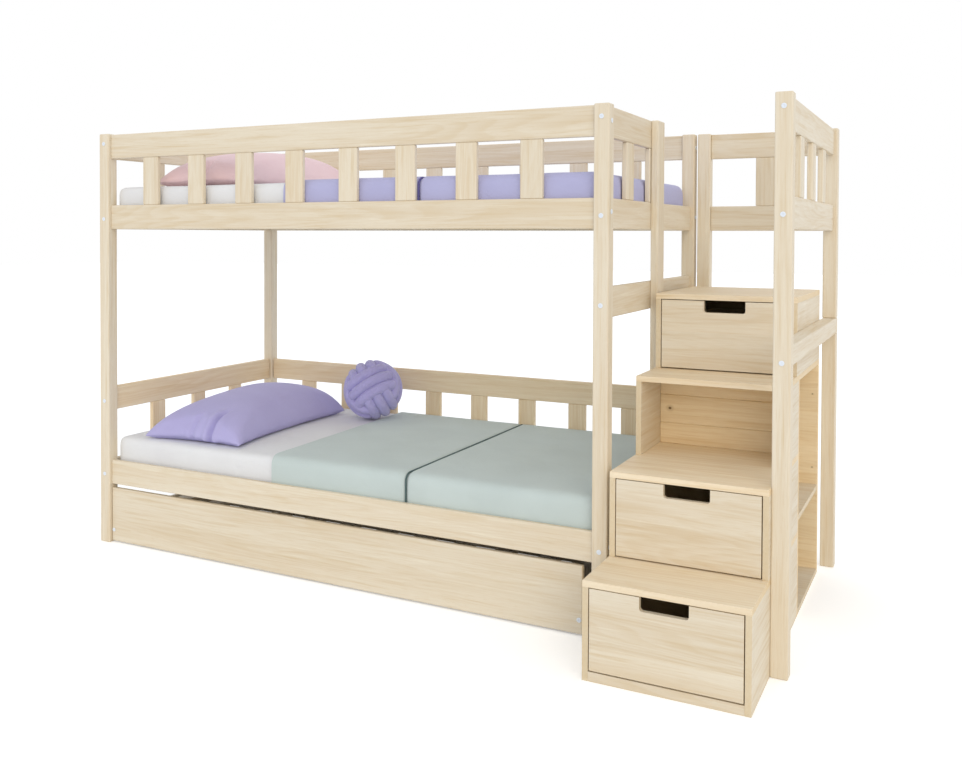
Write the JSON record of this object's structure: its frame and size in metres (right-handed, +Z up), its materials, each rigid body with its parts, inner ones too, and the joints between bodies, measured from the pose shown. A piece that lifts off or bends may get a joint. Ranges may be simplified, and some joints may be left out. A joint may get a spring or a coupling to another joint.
{
  "type": "bunk bed with storage stairs",
  "caption": "Pale pine bunk bed with slatted guards, a pull-out bed on casters under it and a stair unit with drawers, a niche, a side bookcase and a handrail.",
  "frame": {"origin": "middle of the footprint of the bed with its stairs, on the floor", "axes": "+X along the bed from the pillow end to the stairs, +Y from the front to the wall side, +Z up"},
  "size_m": [2.598, 1.375, 1.611],
  "materials": {
    "pine": "clear matt lacquer over pale pine",
    "drawer_board": "unfinished pale board",
    "bolt": "white painted head with a hexagon socket",
    "spacer": "moulded spacer",
    "ticking": "white fitted sheet",
    "lavender_cotton": "smooth cotton",
    "sage_cotton": "smooth cotton",
    "pink_cotton": "smooth cotton",
    "lavender_plush": "short soft plush",
    "caster_steel": "zinc plated",
    "wheel": "hard dark nylon"
  },
  "bodies": {
    "bed": {"drawer_glides": "pine", "entry_post": "pine", "frame_bolts": "bolt", "knot_cushion": "lavender_plush", "link_spacers": "spacer", "lower_bed_slats": "pine", "lower_blanket_foot": "sage_cotton", "lower_blanket_head": "sage_cotton", "lower_end_rails": "pine", "lower_guard_back_rail": "pine", "lower_guard_end_rail": "pine", "lower_guard_slats": "pine", "lower_mattress": "ticking", "lower_pillow": "lavender_cotton", "lower_side_rails": "pine", "mid_end_rail": "pine", "post_back_left": "pine", "post_back_right": "pine", "post_front_left": "pine", "post_front_right": "pine", "slat_ledges": "pine", "stair_back_rails": "pine", "stair_beam": "pine", "stair_front_post": "pine", "stair_guard_slats": "pine", "stair_inner_post": "pine", "stair_outer_post": "pine", "stair_outer_rails": "pine", "stair_shelves": "pine", "stair_side_panels": "pine", "stair_treads": "pine", "stair_walls": "pine", "upper_bed_slats": "pine", "upper_blanket": "lavender_cotton", "upper_end_rails": "pine", "upper_guard_back_slats": "pine", "upper_guard_end_rails": "pine", "upper_guard_end_slats": "pine", "upper_guard_front_slats": "pine", "upper_guard_side_rails": "pine", "upper_mattress": "ticking", "upper_pillow": "pink_cotton", "upper_side_rails": "pine"},
    "trundle": {"trundle_front": "pine", "trundle_boards": "pine", "trundle_bolts": "bolt", "trundle_slats": "pine", "trundle_bearers": "pine", "caster_forks": "caster_steel", "caster_axles": "caster_steel"},
    "wheel_front_left": {"wheel_front_left": "wheel"},
    "wheel_front_right": {"wheel_front_right": "wheel"},
    "wheel_back_left": {"wheel_back_left": "wheel"},
    "wheel_back_right": {"wheel_back_right": "wheel"},
    "drawer_1": {"drawer_1_front": "pine", "drawer_1_box": "drawer_board"},
    "drawer_2": {"drawer_2_front": "pine", "drawer_2_box": "drawer_board"},
    "drawer_4": {"drawer_4_front": "pine", "drawer_4_box": "drawer_board"}
  },
  "joints": [
    {"name": "trundle_slide", "type": "slide", "parent": "bed", "child": "trundle", "axis": [0, -1, 0], "range_m": [0, 0.85]},
    {"name": "wheel_front_left_roll", "type": "hinge", "parent": "trundle", "child": "wheel_front_left", "pos_m": [-1.1, -0.2775, 0.02], "axis": [1, 0, 0], "continuous": true},
    {"name": "wheel_front_right_roll", "type": "hinge", "parent": "trundle", "child": "wheel_front_right", "pos_m": [0.556, -0.2775, 0.02], "axis": [1, 0, 0], "continuous": true},
    {"name": "wheel_back_left_roll", "type": "hinge", "parent": "trundle", "child": "wheel_back_left", "pos_m": [-1.1, 0.4545, 0.02], "axis": [1, 0, 0], "continuous": true},
    {"name": "wheel_back_right_roll", "type": "hinge", "parent": "trundle", "child": "wheel_back_right", "pos_m": [0.556, 0.4545, 0.02], "axis": [1, 0, 0], "continuous": true},
    {"name": "drawer_1_slide", "type": "slide", "parent": "bed", "child": "drawer_1", "axis": [0, -1, 0], "range_m": [0, 0.35]},
    {"name": "drawer_2_slide", "type": "slide", "parent": "bed", "child": "drawer_2", "axis": [0, -1, 0], "range_m": [0, 0.35]},
    {"name": "drawer_4_slide", "type": "slide", "parent": "bed", "child": "drawer_4", "axis": [0, -1, 0], "range_m": [0, 0.35]}
  ],
  "couplings": [
    {"joint": "wheel_front_left_roll", "follows": "trundle_slide", "rad_per_m": 50},
    {"joint": "wheel_front_right_roll", "follows": "trundle_slide", "rad_per_m": 50},
    {"joint": "wheel_back_left_roll", "follows": "trundle_slide", "rad_per_m": 50},
    {"joint": "wheel_back_right_roll", "follows": "trundle_slide", "rad_per_m": 50}
  ]
}
